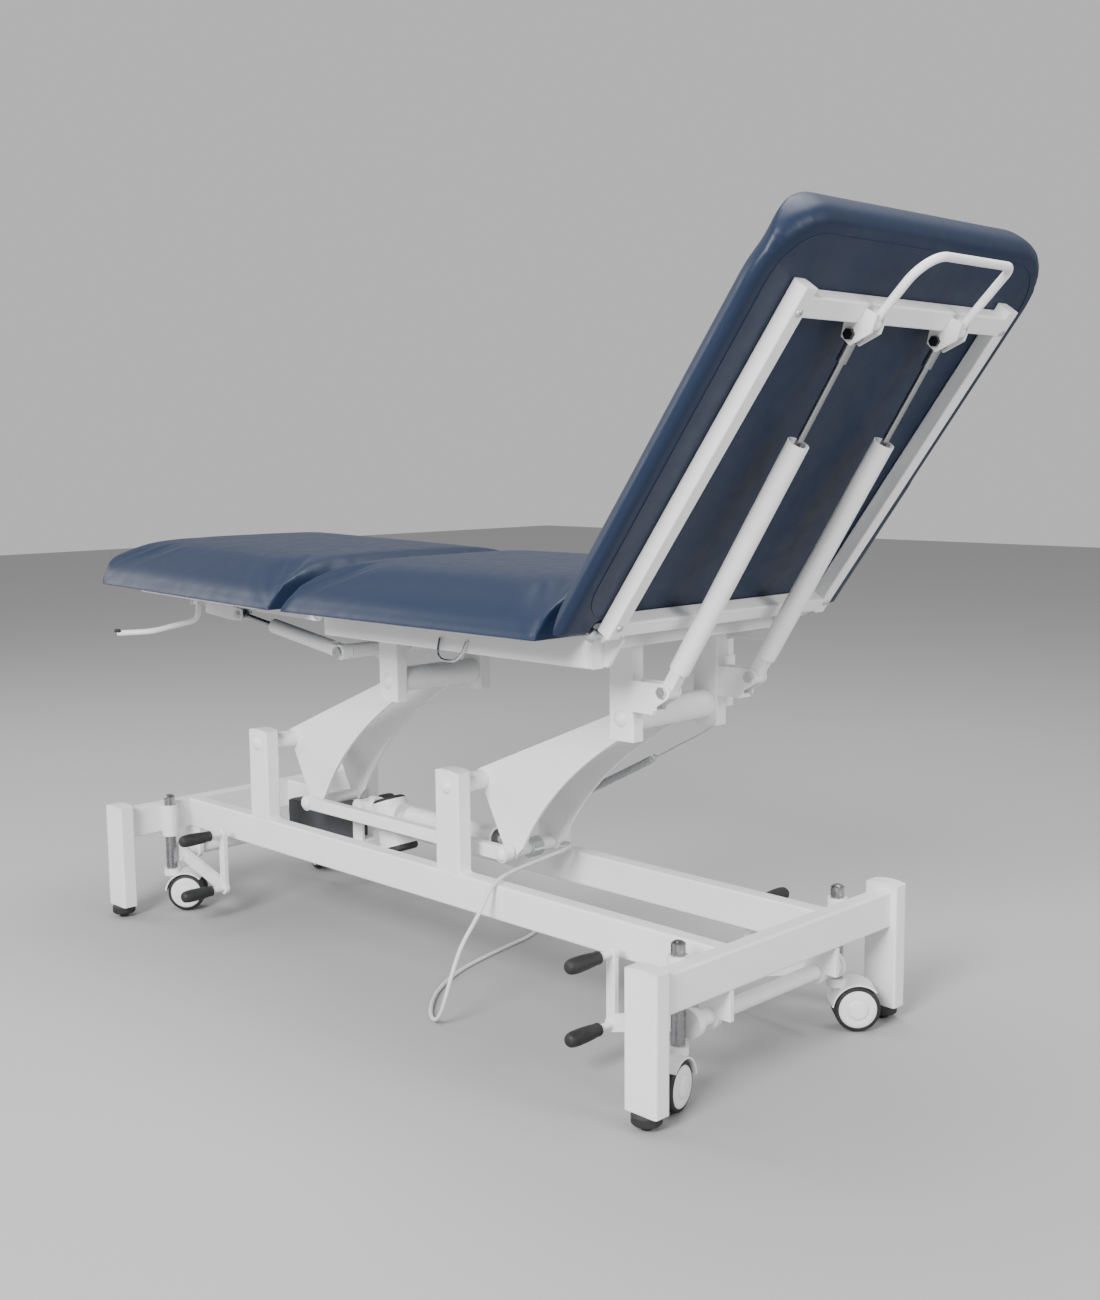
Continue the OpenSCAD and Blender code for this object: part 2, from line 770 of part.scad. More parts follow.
module leg_placed() {
  translate([leg_hinge[0] - origin_x, 0, leg_hinge[1]]) rotate([0, leg_tilt, 0])
    translate([-leg_hinge[0], 0, -leg_hinge[1]]) children();
}

module leg_frame() {
  top = deck_z - frame_t / 2;
  hx = leg_hinge[0];
  hz = leg_hinge[1];
  color(coat_white) {
    leg_placed() {
      both_sides() bar_x(leg_end_x, -130, leg_tube_y, top, frame_t, frame_t, 3);
      for (x = [leg_end_x + frame_t / 2, -621.5, -158])
        bar_y(-leg_tube_y + 6, leg_tube_y - 6, x, top, frame_t, frame_t, 3);
      both_sides() plate_xz(232, 236) difference() {
        union() {
          translate([-290, hz - 11]) square([290 + hx, 22]);
          translate([hx, hz]) circle(11);
        }
        translate([hx, hz]) circle(6 + fit);
      }
    }
    placed() {
      both_sides() for (y = [100, 119]) plate_xz(y, y + 3)
        polygon([[-640, 664], [-604, 664], [-600, 640], [leg_strut_top[0] + 12, 628],
                 [leg_strut_top[0] + 12, 606], [-545, 604], [-640, 613]]);
      both_sides() {
        pin_y(5, 97, 125, leg_strut_top[0], leg_strut_top[1]);
        for (y = [94, 122]) plate_xz(y, y + 6) translate(leg_strut_top) circle(8, $fn = 6);
      }
      for (x = [-634, -611]) translate([x, -160, 632]) cube([3, 20, 30]);
      translate([-634, -150, 640]) rotate([0, 90, 0]) cylinder(r = 3, h = 26);
    }
  }
}

module leg_hinge_pins() {
  color(bright_steel) placed() both_sides() {
    pin_y(6, 198, 237, leg_hinge[0], leg_hinge[1]);
    dome_y(10, 5, leg_hinge[0], 236.5, leg_hinge[1], 1);
    pin_y(9, 197, 200, leg_hinge[0], leg_hinge[1]);
  }
}

module leg_cushion() {
  end = -97;
  color(vinyl_navy) leg_placed() translate([0, 0, deck_z]) intersection() {
    section_along(foot_end_x, end);
    plate_xz(-400, 400) side_profile(foot_end_x, end, 40, 45);
    union() {
      translate([foot_end_x + corner_r, -couch_w / 2, -1]) cube([end - foot_end_x, couch_w, 90]);
      translate([foot_end_x, -couch_w / 2 + corner_r, -1])
        cube([end - foot_end_x, couch_w - 2 * corner_r, 90]);
      both_sides() translate([foot_end_x + corner_r, couch_w / 2 - corner_r, -1])
        cylinder(r = corner_r, h = 90);
    }
  }
}

module leg_release_handle() {
  color(coat_white) placed() difference() {
    union() {
      bent_rod([leg_lever, [-621, -152, 602], [-632, -250, 586], [-672, -304, 584]], 5.5, 16);
      translate([-629, leg_lever[1], leg_lever[2]]) rotate([0, 90, 0]) cylinder(r = 8, h = 16);
    }
    translate([-640, leg_lever[1], leg_lever[2]]) rotate([0, 90, 0]) cylinder(r = 3 + fit, h = 40);
  }
}

module leg_strut_placed() {
  translate([leg_strut_foot[0] - origin_x, 0, leg_strut_foot[1]])
    rotate([0, leg_strut_angle, 0]) mirror([1, 0, 0]) children();
}

module leg_strut_tubes() {
  color(coat_white) leg_strut_placed() both_sides() {
    difference() {
      union() {
        pin_y(14, leg_strut_y - 11, leg_strut_y + 11, 0, 0);
        bar_x(0, 26, leg_strut_y, 0, 22, 22, 2);
      }
      pin_y(7 + fit, leg_strut_y - 14, leg_strut_y + 14, 0, 0);
    }
    translate([24, leg_strut_y, 0]) rotate([0, 90, 0]) difference() {
      cylinder(r = 14, h = 196);
      translate([0, 0, 6]) cylinder(r = 11.5, h = 196);
    }
  }
}

module leg_strut_rods() {
  l = norm(leg_strut_top - leg_strut_foot);
  color(bright_steel) leg_strut_placed() both_sides() difference() {
    translate([0, leg_strut_y, 0]) {
      pin_y(9.5, -7, 7, l, 0);
      translate([l - 242, 0, 0]) rotate([0, 90, 0]) cylinder(r = 5, h = 235);
    }
    pin_y(5 + fit, leg_strut_y - 12, leg_strut_y + 12, l, 0);
  }
}

// ---------- castors and pedals ----------

module castor_stems(x) {
  color(bright_steel) placed() both_sides() translate([x, stem_y, 0]) {
    translate([0, 0, 86.5]) cylinder(r = stem_r, h = 150);
    translate([0, 0, 236.5]) dome(stem_r, 5);
    translate([0, 0, 74.5]) cylinder(r = 6, h = 13);
  }
}

module castor_stems_head() { castor_stems(stem_x); }

module castor_stems_foot() { castor_stems(-stem_x); }

// Fork with its trail along the given heading: stem collar, web between the wheels, hood
module castor_fork(x, y, heading) {
  color(coat_white) placed() translate([x, y, 0]) rotate([0, 0, heading]) difference() {
    union() {
      translate([0, 0, 72.5]) cylinder(r = 16, h = 13.5);
      plate_xz(-4, 4) {
        translate([trail, wheel_z]) circle(12);
        polygon([[-10, 78], [-2, 62], [trail - 10, wheel_z - 6], [trail + 11, wheel_z], [18, 78]]);
      }
      plate_xz(-26, 26) translate([trail, wheel_z]) intersection() {
        difference() {
          circle(wheel_r + 5);
          circle(wheel_r + 2.5);
        }
        polygon([[0, 0], [-60, 8], [-60, 80], [30, 80], [30, 30]]);
      }
    }
    pin_y(5 + fit, -10, 10, trail, wheel_z);
    translate([0, 0, 70]) cylinder(r = 6 + fit, h = 20);
  }
}

// Twin wheels on one axle
module castor_wheel(x, y, heading) {
  color(rubber_black) placed() translate([x, y, 0]) rotate([0, 0, heading])
    translate([trail, 0, wheel_z]) rotate([90, 0, 0]) {
      cylinder(r = 5, h = 40, center = true);
      for (side = [0, 1]) mirror([0, 0, side]) rotate_extrude($fn = 64)
        polygon([[0, 5], [wheel_r - 3, 5], [wheel_r, 8], [wheel_r, 22], [wheel_r - 4, 25],
                 [16, 25], [13, 28], [0, 28]]);
    }
}

module castor_fork_head_near() { castor_fork(stem_x, -stem_y, -75); }
module castor_fork_head_far() { castor_fork(stem_x, stem_y, 45); }
module castor_fork_foot_near() { castor_fork(-stem_x, -stem_y, 45); }
module castor_fork_foot_far() { castor_fork(-stem_x, stem_y, 160); }
module castor_wheel_head_near() { castor_wheel(stem_x, -stem_y, -75); }
module castor_wheel_head_far() { castor_wheel(stem_x, stem_y, 45); }
module castor_wheel_foot_near() { castor_wheel(-stem_x, -stem_y, 45); }
module castor_wheel_foot_far() { castor_wheel(-stem_x, stem_y, 160); }

// Cross shaft with a lever at each side; each lever carries a high and a low pedal rod
module pedal_shaft() {
  both_sides() {
    pin_y(22, 173, 182, shaft_x, shaft_z);
    plate_xz(pedal_y - 4, pedal_y + 4) {
      translate([shaft_x, shaft_z]) circle(20);
      polygon([[shaft_x, shaft_z + 13], [shaft_x - 4, shaft_z - 14], [pedal_x, pedal_low - 12],
               [pedal_x - 8, pedal_low - 8], [pedal_x - 8, pedal_low + 14]]);
      translate([pedal_x, pedal_low]) circle(12);
      translate([pedal_x - 9, pedal_low]) square([18, pedal_high - pedal_low]);
      translate([pedal_x, pedal_high]) circle(10);
    }
    for (z = [pedal_low, pedal_high]) pin_y(6, pedal_y + 1, 205, pedal_x, z);
  }
  pin_y(shaft_r, -180, 180, shaft_x, shaft_z);
}

module pedal_grips() {
  both_sides() for (z = [pedal_low, pedal_high]) translate([pedal_x, 200, z]) rotate([-90, 0, 0])
    difference() {
      rotate_extrude() polygon([[0, 0], [10.5, 0], [12, 2], [12, 60], [9.5, 66], [5, 68], [0, 68]]);
      translate([0, 0, -1]) cylinder(r = 6, h = 6);
    }
}

module pedal_shaft_head() { color(coat_white) placed() pedal_shaft(); }

module pedal_shaft_foot() { color(coat_white) placed() mirror([1, 0, 0]) pedal_shaft(); }

module pedal_grips_head() { color(rubber_black) placed() pedal_grips(); }

module pedal_grips_foot() { color(rubber_black) placed() mirror([1, 0, 0]) pedal_grips(); }

base_rails();
base_legs();
base_posts();
tube_caps();
levelling_feet();
lower_pivot_pins();
castor_sleeves();
pedal_bearings();
actuator_mount();
control_box();
mains_strain_relief();
mains_cord();
mains_cord_coil();
mains_plug();
bellcrank_foot();
bellcrank_head();
connecting_rod();
actuator_motor();
actuator_tube();
actuator_caps();
actuator_rod();
seat_frame();
hangers();
upper_pivot_pins();
strut_brackets();
leg_strut_anchor();
hinge_ears();
seat_cushion();
paper_hook();
handset_holder();
handset();
handset_rocker();
handset_cord();
back_frame();
back_strut_bolts();
back_hinge_pins();
back_cushion();
back_release_handle();
back_strut_tubes();
back_strut_rods();
leg_frame();
leg_hinge_pins();
leg_cushion();
leg_release_handle();
leg_strut_tubes();
leg_strut_rods();
castor_stems_head();
castor_stems_foot();
castor_fork_head_near();
castor_fork_head_far();
castor_fork_foot_near();
castor_fork_foot_far();
castor_wheel_head_near();
castor_wheel_head_far();
castor_wheel_foot_near();
castor_wheel_foot_far();
pedal_shaft_head();
pedal_shaft_foot();
pedal_grips_head();
pedal_grips_foot();
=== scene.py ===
import math

import bmesh
import bpy
from mathutils import Matrix, Vector


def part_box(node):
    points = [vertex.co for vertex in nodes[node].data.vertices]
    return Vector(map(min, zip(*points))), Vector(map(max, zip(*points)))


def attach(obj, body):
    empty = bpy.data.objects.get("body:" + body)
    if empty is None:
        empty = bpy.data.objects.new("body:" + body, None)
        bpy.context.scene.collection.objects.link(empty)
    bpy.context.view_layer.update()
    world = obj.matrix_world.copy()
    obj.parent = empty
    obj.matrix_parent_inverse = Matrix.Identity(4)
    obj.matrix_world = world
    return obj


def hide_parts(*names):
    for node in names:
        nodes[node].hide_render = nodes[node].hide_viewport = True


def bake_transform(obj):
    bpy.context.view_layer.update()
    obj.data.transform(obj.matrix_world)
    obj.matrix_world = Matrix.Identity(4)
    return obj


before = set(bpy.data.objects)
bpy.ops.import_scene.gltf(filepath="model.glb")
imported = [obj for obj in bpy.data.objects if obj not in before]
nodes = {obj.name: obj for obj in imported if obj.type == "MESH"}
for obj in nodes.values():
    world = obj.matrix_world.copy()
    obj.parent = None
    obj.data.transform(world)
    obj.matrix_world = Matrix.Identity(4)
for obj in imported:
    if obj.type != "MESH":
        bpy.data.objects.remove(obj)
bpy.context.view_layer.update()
scene = bpy.context.scene

# The middle of the welded base lies this far from the frame's origin, in metres
ORIGIN_X = 0.1282


def at(x, y, z):
    """A point given from the middle of the base, in metres, as a point of the frame."""
    return Vector((x - ORIGIN_X, y, z))


# ---------- camera and stage ----------

def add_camera():
    """A camera near the head end on the near side, looking slightly down along the couch."""
    yaw, pitch, roll = (math.radians(a) for a in (45.13, 7.395, -0.439))
    ahead = Vector((-math.sin(yaw) * math.cos(pitch), math.cos(yaw) * math.cos(pitch),
                    -math.sin(pitch)))
    right = Vector((math.cos(yaw), math.sin(yaw), 0))
    up = right.cross(ahead)
    across = right * math.cos(roll) + up * math.sin(roll)
    upward = up * math.cos(roll) - right * math.sin(roll)
    data = bpy.data.cameras.new("camera")
    data.lens = 42.24
    data.sensor_width = 36
    camera = bpy.data.objects.new("camera", data)
    scene.collection.objects.link(camera)
    turn = Matrix((across, upward, -ahead)).transposed().to_4x4()
    camera.matrix_world = Matrix.Translation(at(2.0454, -1.8065, 0.9316)) @ turn
    scene.camera = camera


add_camera()


# ---------- materials ----------

def new_material(name, color, roughness, metallic=0.0):
    made = bpy.data.materials.new(name)
    made.use_nodes = True
    shader = made.node_tree.nodes["Principled BSDF"]
    shader.inputs["Base Color"].default_value = (*color, 1)
    shader.inputs["Roughness"].default_value = roughness
    shader.inputs["Metallic"].default_value = metallic
    return made, shader


def texture(made, kind, scale, detail=2.0):
    """A noise or Voronoi texture in object space, in cells per metre."""
    tree = made.node_tree
    place = tree.nodes.new("ShaderNodeTexCoord")
    node = tree.nodes.new(kind)
    node.inputs["Scale"].default_value = scale
    if kind == "ShaderNodeTexNoise":
        node.inputs["Detail"].default_value = detail
    tree.links.new(place.outputs["Object"], node.inputs["Vector"])
    return node.outputs[0]


def vary(made, socket, source, low, high):
    """Drives a value or colour socket between low and high by a texture."""
    tree = made.node_tree
    if isinstance(low, tuple):
        node = tree.nodes.new("ShaderNodeValToRGB")
        node.color_ramp.elements[0].position = 0.3
        node.color_ramp.elements[1].position = 0.7
        node.color_ramp.elements[0].color = (*low, 1)
        node.color_ramp.elements[1].color = (*high, 1)
        tree.links.new(source, node.inputs["Fac"])
    else:
        node = tree.nodes.new("ShaderNodeMapRange")
        node.inputs["From Min"].default_value = 0.3
        node.inputs["From Max"].default_value = 0.7
        node.inputs["To Min"].default_value = low
        node.inputs["To Max"].default_value = high
        tree.links.new(source, node.inputs["Value"])
    tree.links.new(node.outputs[0], socket)


def bump(made, shader, *layers):
    """Stacks bump layers, each (texture, depth in metres, strength)."""
    tree = made.node_tree
    last = None
    for source, depth, strength in layers:
        node = tree.nodes.new("ShaderNodeBump")
        node.inputs["Distance"].default_value = depth
        node.inputs["Strength"].default_value = strength
        tree.links.new(source, node.inputs["Height"])
        if last:
            tree.links.new(last, node.inputs["Normal"])
        last = node.outputs["Normal"]
    tree.links.new(last, shader.inputs["Normal"])


def powder_coat(name, color):
    """Sprayed and baked coat: even colour with a fine orange peel."""
    made, shader = new_material(name, color, 0.36)
    shade = tuple(c * 0.96 for c in color)
    vary(made, shader.inputs["Base Color"], texture(made, "ShaderNodeTexNoise", 9, 4), shade, color)
    vary(made, shader.inputs["Roughness"], texture(made, "ShaderNodeTexNoise", 30, 3), 0.3, 0.42)
    bump(made, shader, (texture(made, "ShaderNodeTexNoise", 900, 2), 0.0002, 0.12),
         (texture(made, "ShaderNodeTexNoise", 160, 2), 0.0004, 0.05))
    return made


def moulded(name, color, roughness):
    """Injection moulded plastic with a fine spark eroded grain."""
    made, shader = new_material(name, color, roughness)
    shade = tuple(c * 0.92 for c in color)
    vary(made, shader.inputs["Base Color"], texture(made, "ShaderNodeTexNoise", 25, 3), shade, color)
    vary(made, shader.inputs["Roughness"], texture(made, "ShaderNodeTexNoise", 70, 3),
         roughness - 0.06, roughness + 0.06)
    bump(made, shader, (texture(made, "ShaderNodeTexVoronoi", 1400), 0.0001, 0.15))
    return made


def rubber(name):
    """Matt black rubber."""
    made, shader = new_material(name, (0.012, 0.012, 0.013), 0.62)
    vary(made, shader.inputs["Base Color"], texture(made, "ShaderNodeTexNoise", 60, 4),
         (0.010, 0.010, 0.011), (0.022, 0.022, 0.023))
    vary(made, shader.inputs["Roughness"], texture(made, "ShaderNodeTexNoise", 120, 3), 0.5, 0.74)
    bump(made, shader, (texture(made, "ShaderNodeTexNoise", 1500, 2), 0.0002, 0.25))
    return made


def metal(name, color, low, high, grain):
    """Bare or plated metal with roughness between low and high; grain is in cells per metre."""
    made, shader = new_material(name, color, low, 1.0)
    shade = tuple(c * 0.93 for c in color)
    vary(made, shader.inputs["Base Color"], texture(made, "ShaderNodeTexNoise", grain, 3),
         shade, color)
    vary(made, shader.inputs["Roughness"], texture(made, "ShaderNodeTexNoise", grain * 2, 4),
         low, high)
    bump(made, shader, (texture(made, "ShaderNodeTexNoise", grain * 4, 2), 0.00005, 0.04))
    return made


def vinyl(name, dark, light):
    """Upholstery vinyl: a fine pebbled grain over slight unevenness of the padding."""
    made, shader = new_material(name, light, 0.46)
    vary(made, shader.inputs["Base Color"], texture(made, "ShaderNodeTexNoise", 5, 4), dark, light)
    vary(made, shader.inputs["Roughness"], texture(made, "ShaderNodeTexNoise", 40, 4), 0.43, 0.52)
    shader.inputs["Specular IOR Level"].default_value = 0.36
    bump(made, shader, (texture(made, "ShaderNodeTexVoronoi", 1100), 0.0002, 0.10),
         (texture(made, "ShaderNodeTexNoise", 420, 3), 0.0003, 0.10),
         (texture(made, "ShaderNodeTexNoise", 18, 2), 0.001, 0.04))
    return made


def lining(name):
    """Black non-woven cloth under the boards."""
    made, shader = new_material(name, (0.02, 0.02, 0.022), 0.9)
    vary(made, shader.inputs["Base Color"], texture(made, "ShaderNodeTexNoise", 500, 5),
         (0.012, 0.012, 0.014), (0.04, 0.04, 0.043))
    bump(made, shader, (texture(made, "ShaderNodeTexVoronoi", 700), 0.0004, 0.4))
    return made


coat = powder_coat("white_powder_coat", (0.84, 0.84, 0.835))
white_cap = moulded("white_moulding", (0.84, 0.84, 0.83), 0.4)
box_plastic = moulded("grey_moulding", (0.045, 0.047, 0.052), 0.5)
rocker_plastic = moulded("light_grey_moulding", (0.35, 0.36, 0.38), 0.45)
sheath = moulded("white_sheath", (0.68, 0.68, 0.67), 0.45)
grey_sheath = moulded("grey_sheath", (0.52, 0.53, 0.54), 0.5)
black_rubber = rubber("black_rubber")
zinc = metal("zinc_plate", (0.62, 0.63, 0.65), 0.22, 0.42, 90)
polished = metal("polished_steel", (0.7, 0.71, 0.73), 0.08, 0.16, 200)
steel = metal("drawn_steel", (0.34, 0.34, 0.35), 0.24, 0.3, 60)
blackened = metal("black_zinc", (0.05, 0.05, 0.055), 0.3, 0.45, 120)
navy = vinyl("navy_vinyl", (0.0048, 0.0135, 0.038), (0.0056, 0.0152, 0.043))
under_cloth = lining("under_cloth")

CAD_LOOKS = {
    coat: ["base_rails", "base_legs", "base_posts", "castor_sleeves", "pedal_bearings",
           "actuator_mount", "bellcrank_foot", "bellcrank_head", "connecting_rod", "seat_frame",
           "hangers", "leg_strut_anchor", "hinge_ears", "back_frame", "back_strut_tubes",
           "leg_frame", "leg_strut_tubes", "pedal_shaft_head", "pedal_shaft_foot",
           "back_release_handle", "leg_release_handle", "strut_brackets"],
    white_cap: ["tube_caps", "lower_pivot_pins", "upper_pivot_pins", "actuator_motor",
                "actuator_tube", "castor_fork_head_near", "castor_fork_head_far",
                "castor_fork_foot_near", "castor_fork_foot_far", "mains_plug", "handset",
                "handset_holder"],
    black_rubber: ["levelling_feet", "actuator_caps"],
    box_plastic: ["control_box", "mains_strain_relief"],
    rocker_plastic: ["handset_rocker"],
    zinc: ["back_hinge_pins", "leg_hinge_pins"],
    steel: ["castor_stems_head", "castor_stems_foot", "back_strut_rods", "leg_strut_rods"],
    polished: ["actuator_rod", "paper_hook"],
    blackened: ["back_strut_bolts"],
}


def dress(node, made):
    """Gives a CAD node its material."""
    mesh = nodes[node].data
    mesh.materials.clear()
    mesh.materials.append(made)


for made, names in CAD_LOOKS.items():
    for name in names:
        dress(name, made)


def plate_bolts(node, pivot, reach, inner, outer):
    """Gives the bolt through a pair of plates its zinc, on the faces near the pivot outside them."""
    mesh = nodes[node].data
    mesh.materials.append(zinc)
    for face in mesh.polygons:
        spot = face.center
        near = math.hypot(spot.x - pivot.x, spot.z - pivot.z) < reach
        if near and not inner < abs(spot.y) < outer:
            face.material_index = 1


plate_bolts("strut_brackets", at(0.584, 0, 0.578), 0.010, 0.0895, 0.1185)
plate_bolts("leg_frame", at(-0.522, 0, 0.617), 0.010, 0.0995, 0.1225)
plate_bolts("leg_strut_anchor", at(-0.196, 0, 0.570), 0.012, 0, 0.1255)


# ---------- shared mesh helpers ----------

def add_object(name, mesh, *looks):
    piece = bpy.data.objects.new(name, mesh)
    scene.collection.objects.link(piece)
    for look in looks:
        mesh.materials.append(look)
    return piece


def smooth_shade(mesh, degrees=35):
    mesh.shade_smooth()
    mesh.set_sharp_from_angle(angle=math.radians(degrees))


def revolve(rings, segments=48):
    """A bmesh turned about Z from rings of (radius, height, material of the band after it)."""
    made = bmesh.new()
    previous = None
    band = 0
    for radius, height, look in rings:
        if radius == 0:
            ring = [made.verts.new((0, 0, height))]
        else:
            ring = [made.verts.new((radius * math.cos(a), radius * math.sin(a), height))
                    for a in (2 * math.pi * k / segments for k in range(segments))]
        if previous:
            for k in range(segments):
                n = (k + 1) % segments
                corners = [previous[k % len(previous)], previous[n % len(previous)],
                           ring[n % len(ring)], ring[k % len(ring)]]
                face = made.faces.new(list(dict.fromkeys(corners)))
                face.material_index = band
        previous, band = ring, look
    bmesh.ops.recalc_face_normals(made, faces=made.faces)
    return made


def as_mesh(name, made, place=Matrix.Identity(4)):
    mesh = bpy.data.meshes.new(name)
    made.transform(place)
    made.to_mesh(mesh)
    made.free()
    smooth_shade(mesh)
    return mesh


def joined(name, parts):
    """One mesh of several bmeshes, each with its own place."""
    whole = bmesh.new()
    for made, place in parts:
        scrap = bpy.data.meshes.new("scrap")
        made.transform(place)
        made.to_mesh(scrap)
        made.free()
        whole.from_mesh(scrap)
        bpy.data.meshes.remove(scrap)
    return as_mesh(name, whole)


def facing(point, direction):
    """A place whose Z runs along direction."""
    return Matrix.Translation(point) @ Vector(direction).to_track_quat("Z", "Y").to_matrix().to_4x4()


# ---------- cords ----------

def spline_points(route, steps):
    """A smooth curve through the points of a route."""
    found = []
    last = len(route) - 1
    for i in range(last):
        a, b = route[max(i - 1, 0)], route[i]
        c, d = route[i + 1], route[min(i + 2, last)]
        for k in range(steps):
            t = k / steps
            found.append(0.5 * (2 * b + (c - a) * t + (2 * a - 5 * b + 4 * c - d) * t * t
                                + (3 * b - a - 3 * c + d) * t ** 3))
    return found + [route[last]]


def length_of(points):
    return sum((b - a).length for a, b in zip(points, points[1:]))


def eased(points, gap, rounds):
    """The same curve in even steps, with its bends opened out and both ends kept."""
    total = length_of(points)
    step = total / round(total / gap)
    even, run, following = [points[0]], 0.0, step
    for a, b in zip(points, points[1:]):
        far = (b - a).length
        while following <= run + far and following < total - step / 2:
            even.append(a.lerp(b, (following - run) / far))
            following += step
        run += far
    even.append(points[-1])
    for _ in range(rounds):
        middle = [(a + 2 * b + c) / 4 for a, b, c in zip(even, even[1:], even[2:])]
        even = [even[0]] + middle + [even[-1]]
    return even


def add_tube(name, points, radius, look, sides=2):
    data = bpy.data.curves.new(name, "CURVE")
    data.dimensions = "3D"
    data.bevel_depth = radius
    data.bevel_resolution = sides
    data.use_fill_caps = True
    line = data.splines.new("POLY")
    line.points.add(len(points) - 1)
    for spot, place in zip(line.points, points):
        spot.co = (*place, 1)
    data.materials.append(look)
    tube = bpy.data.objects.new(name, data)
    scene.collection.objects.link(tube)
    return tube


MAINS_D = 0.007
MAINS_ROUTE = [at(*p) for p in (
    (-0.322, 0.048, 0.200), (-0.292, 0.048, 0.200), (-0.250, 0.054, 0.198),
    (-0.120, 0.066, 0.196), (0.040, 0.076, 0.204), (0.150, 0.090, 0.232),
    (0.192, 0.090, 0.240), (0.208, 0.060, 0.239), (0.214, 0.010, 0.236),
    (0.220, -0.050, 0.233), (0.228, -0.100, 0.230), (0.236, -0.122, 0.230),
    (0.240, -0.141, 0.2275), (0.240, -0.157, 0.213), (0.240, -0.180, 0.178),
    (0.240, -0.215, 0.140), (0.238, -0.236, 0.096), (0.232, -0.248, 0.050),
    (0.218, -0.250, 0.014), (0.196, -0.244, 0.005), (0.150, -0.210, 0.004),
    (0.090, -0.140, 0.004), (0.040, -0.040, 0.004), (0.010, 0.080, 0.004),
    (-0.010, 0.180, 0.004), (-0.036, 0.232, 0.005))]
COIL_MIDDLE = at(-0.105, 0.262, 0)
# Radius and height of each turn of the coil, in the order in which it is wound
COIL_TURNS = [(0.0413, 0.0038), (0.0340, 0.0038), (0.0340, 0.0111), (0.0413, 0.0111),
              (0.0413, 0.0184), (0.0340, 0.0184)]


def coil_points(steps=24):
    """Turns wound beside and on each other, passing to the next in the last third of a turn."""
    found = []
    start = (0.045, 0.007)
    for turn, (radius, height) in enumerate(COIL_TURNS):
        after = COIL_TURNS[min(turn + 1, len(COIL_TURNS) - 1)]
        for k in range(steps):
            share = k / steps
            ease = min(max((share - 0.66) / 0.34, 0), 1)
            ease = ease * ease * (3 - 2 * ease)
            r = radius + (after[0] - radius) * ease
            h = height + (after[1] - height) * ease
            if turn == 0:
                keep = max(1 - share / 0.25, 0) ** 2
                r += (start[0] - radius) * keep
                h += (start[1] - height) * keep
            a = 2 * math.pi * share
            found.append(COIL_MIDDLE + Vector((r * math.cos(a), r * math.sin(a), h)))
    radius, height = COIL_TURNS[-1]
    for k in range(steps // 4):
        a = 2 * math.pi * k / steps
        found.append(COIL_MIDDLE + Vector((radius * math.cos(a), radius * math.sin(a), height)))
    return found


def add_mains_lead():
    low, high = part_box("mains_plug")
    plug_y = (low.y + high.y) / 2
    plug_face = Vector((at(-0.148, 0, 0).x, plug_y, 0.019))
    top = COIL_MIDDLE + Vector((0, COIL_TURNS[-1][0], COIL_TURNS[-1][1]))
    way_out = []
    for k in range(9):
        t = k / 8
        ease = t * t * (3 - 2 * t)
        way_out.append(Vector((top.x + (plug_face.x - 0.002 - top.x) * t,
                               top.y + (plug_face.y - top.y) * ease,
                               top.z + (plug_face.z - top.z) * ease + 0.002 * math.sin(math.pi * t))))
    points = eased(spline_points(MAINS_ROUTE, 12), 0.005, 20) + coil_points() + way_out
    lead = add_tube("mains_lead", points, MAINS_D / 2, sheath, 3)
    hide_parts("mains_cord", "mains_cord_coil")
    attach(lead, "base")
    print("mains lead", round(length_of(points), 3))


LEAD_LOW = [at(*p) for p in (
    (-0.3244, 0.080, 0.204), (-0.290, 0.081, 0.205), (-0.200, 0.086, 0.208),
    (-0.080, 0.088, 0.220), (0.020, 0.090, 0.246), (0.095, 0.092, 0.273),
    (0.228, 0.094, 0.340))]
LEAD_HIGH = [at(*p) for p in (
    (0.228, 0.094, 0.340), (0.363, 0.096, 0.410), (0.440, 0.097, 0.452),
    (0.472, 0.104, 0.470), (0.486, 0.120, 0.484), (0.493, 0.132, 0.500),
    (0.493, 0.133, 0.508), (0.493, 0.133, 0.5198))]
LEAD_D = 0.0027
CURL_PITCH = 0.0046
CURL_R = 0.0056
CURL_STEP = CURL_PITCH / 14
# Over this run the straight lead winds up into its curls, or unwinds out of them
CURL_RAMP = 0.03


def curled(route, curl_from, curl_to, angle):
    """A lead along a route, curled from one run to another and straight on both sides."""
    line = spline_points(route, 40)
    side = Vector((0, 1, 0))
    found = []
    run, next_point = 0.0, 0.0
    for a, b in zip(line, line[1:]):
        step = (b - a).length
        ahead = (b - a) / step
        side = (side - ahead * side.dot(ahead)).normalized()
        over = ahead.cross(side)
        while next_point < run + step:
            spot = a + ahead * (next_point - run)
            rate = min(max((next_point - curl_from) / CURL_RAMP, 0),
                       max((curl_to - next_point) / CURL_RAMP, 0), 1)
            turn = side * math.cos(angle) + over * math.sin(angle)
            found.append(spot + turn * CURL_R)
            pace = CURL_STEP if rate > 0 else CURL_STEP * 6
            angle += 2 * math.pi * rate * rate * pace / CURL_PITCH
            next_point += pace
        run += step
    return found, angle


def add_handset_lead():
    low_points, angle = curled(LEAD_LOW, 0.44, 9, 0.0)
    high_points, _ = curled(LEAD_HIGH, -9, 0.19, angle)
    pieces = []
    for name, points in (("handset_lead_low", low_points), ("handset_lead_high", high_points)):
        piece = add_tube(name, points, LEAD_D / 2, grey_sheath, 2)
        bpy.ops.object.select_all(action="DESELECT")
        piece.select_set(True)
        bpy.context.view_layer.objects.active = piece
        bpy.ops.object.convert(target="MESH")
        pieces.append(piece)
    low, high = pieces
    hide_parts("handset_cord")
    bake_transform(low)
    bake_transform(high)
    for piece, points in ((low, low_points), (high, high_points)):
        print(piece.name, round(length_of(points), 3))


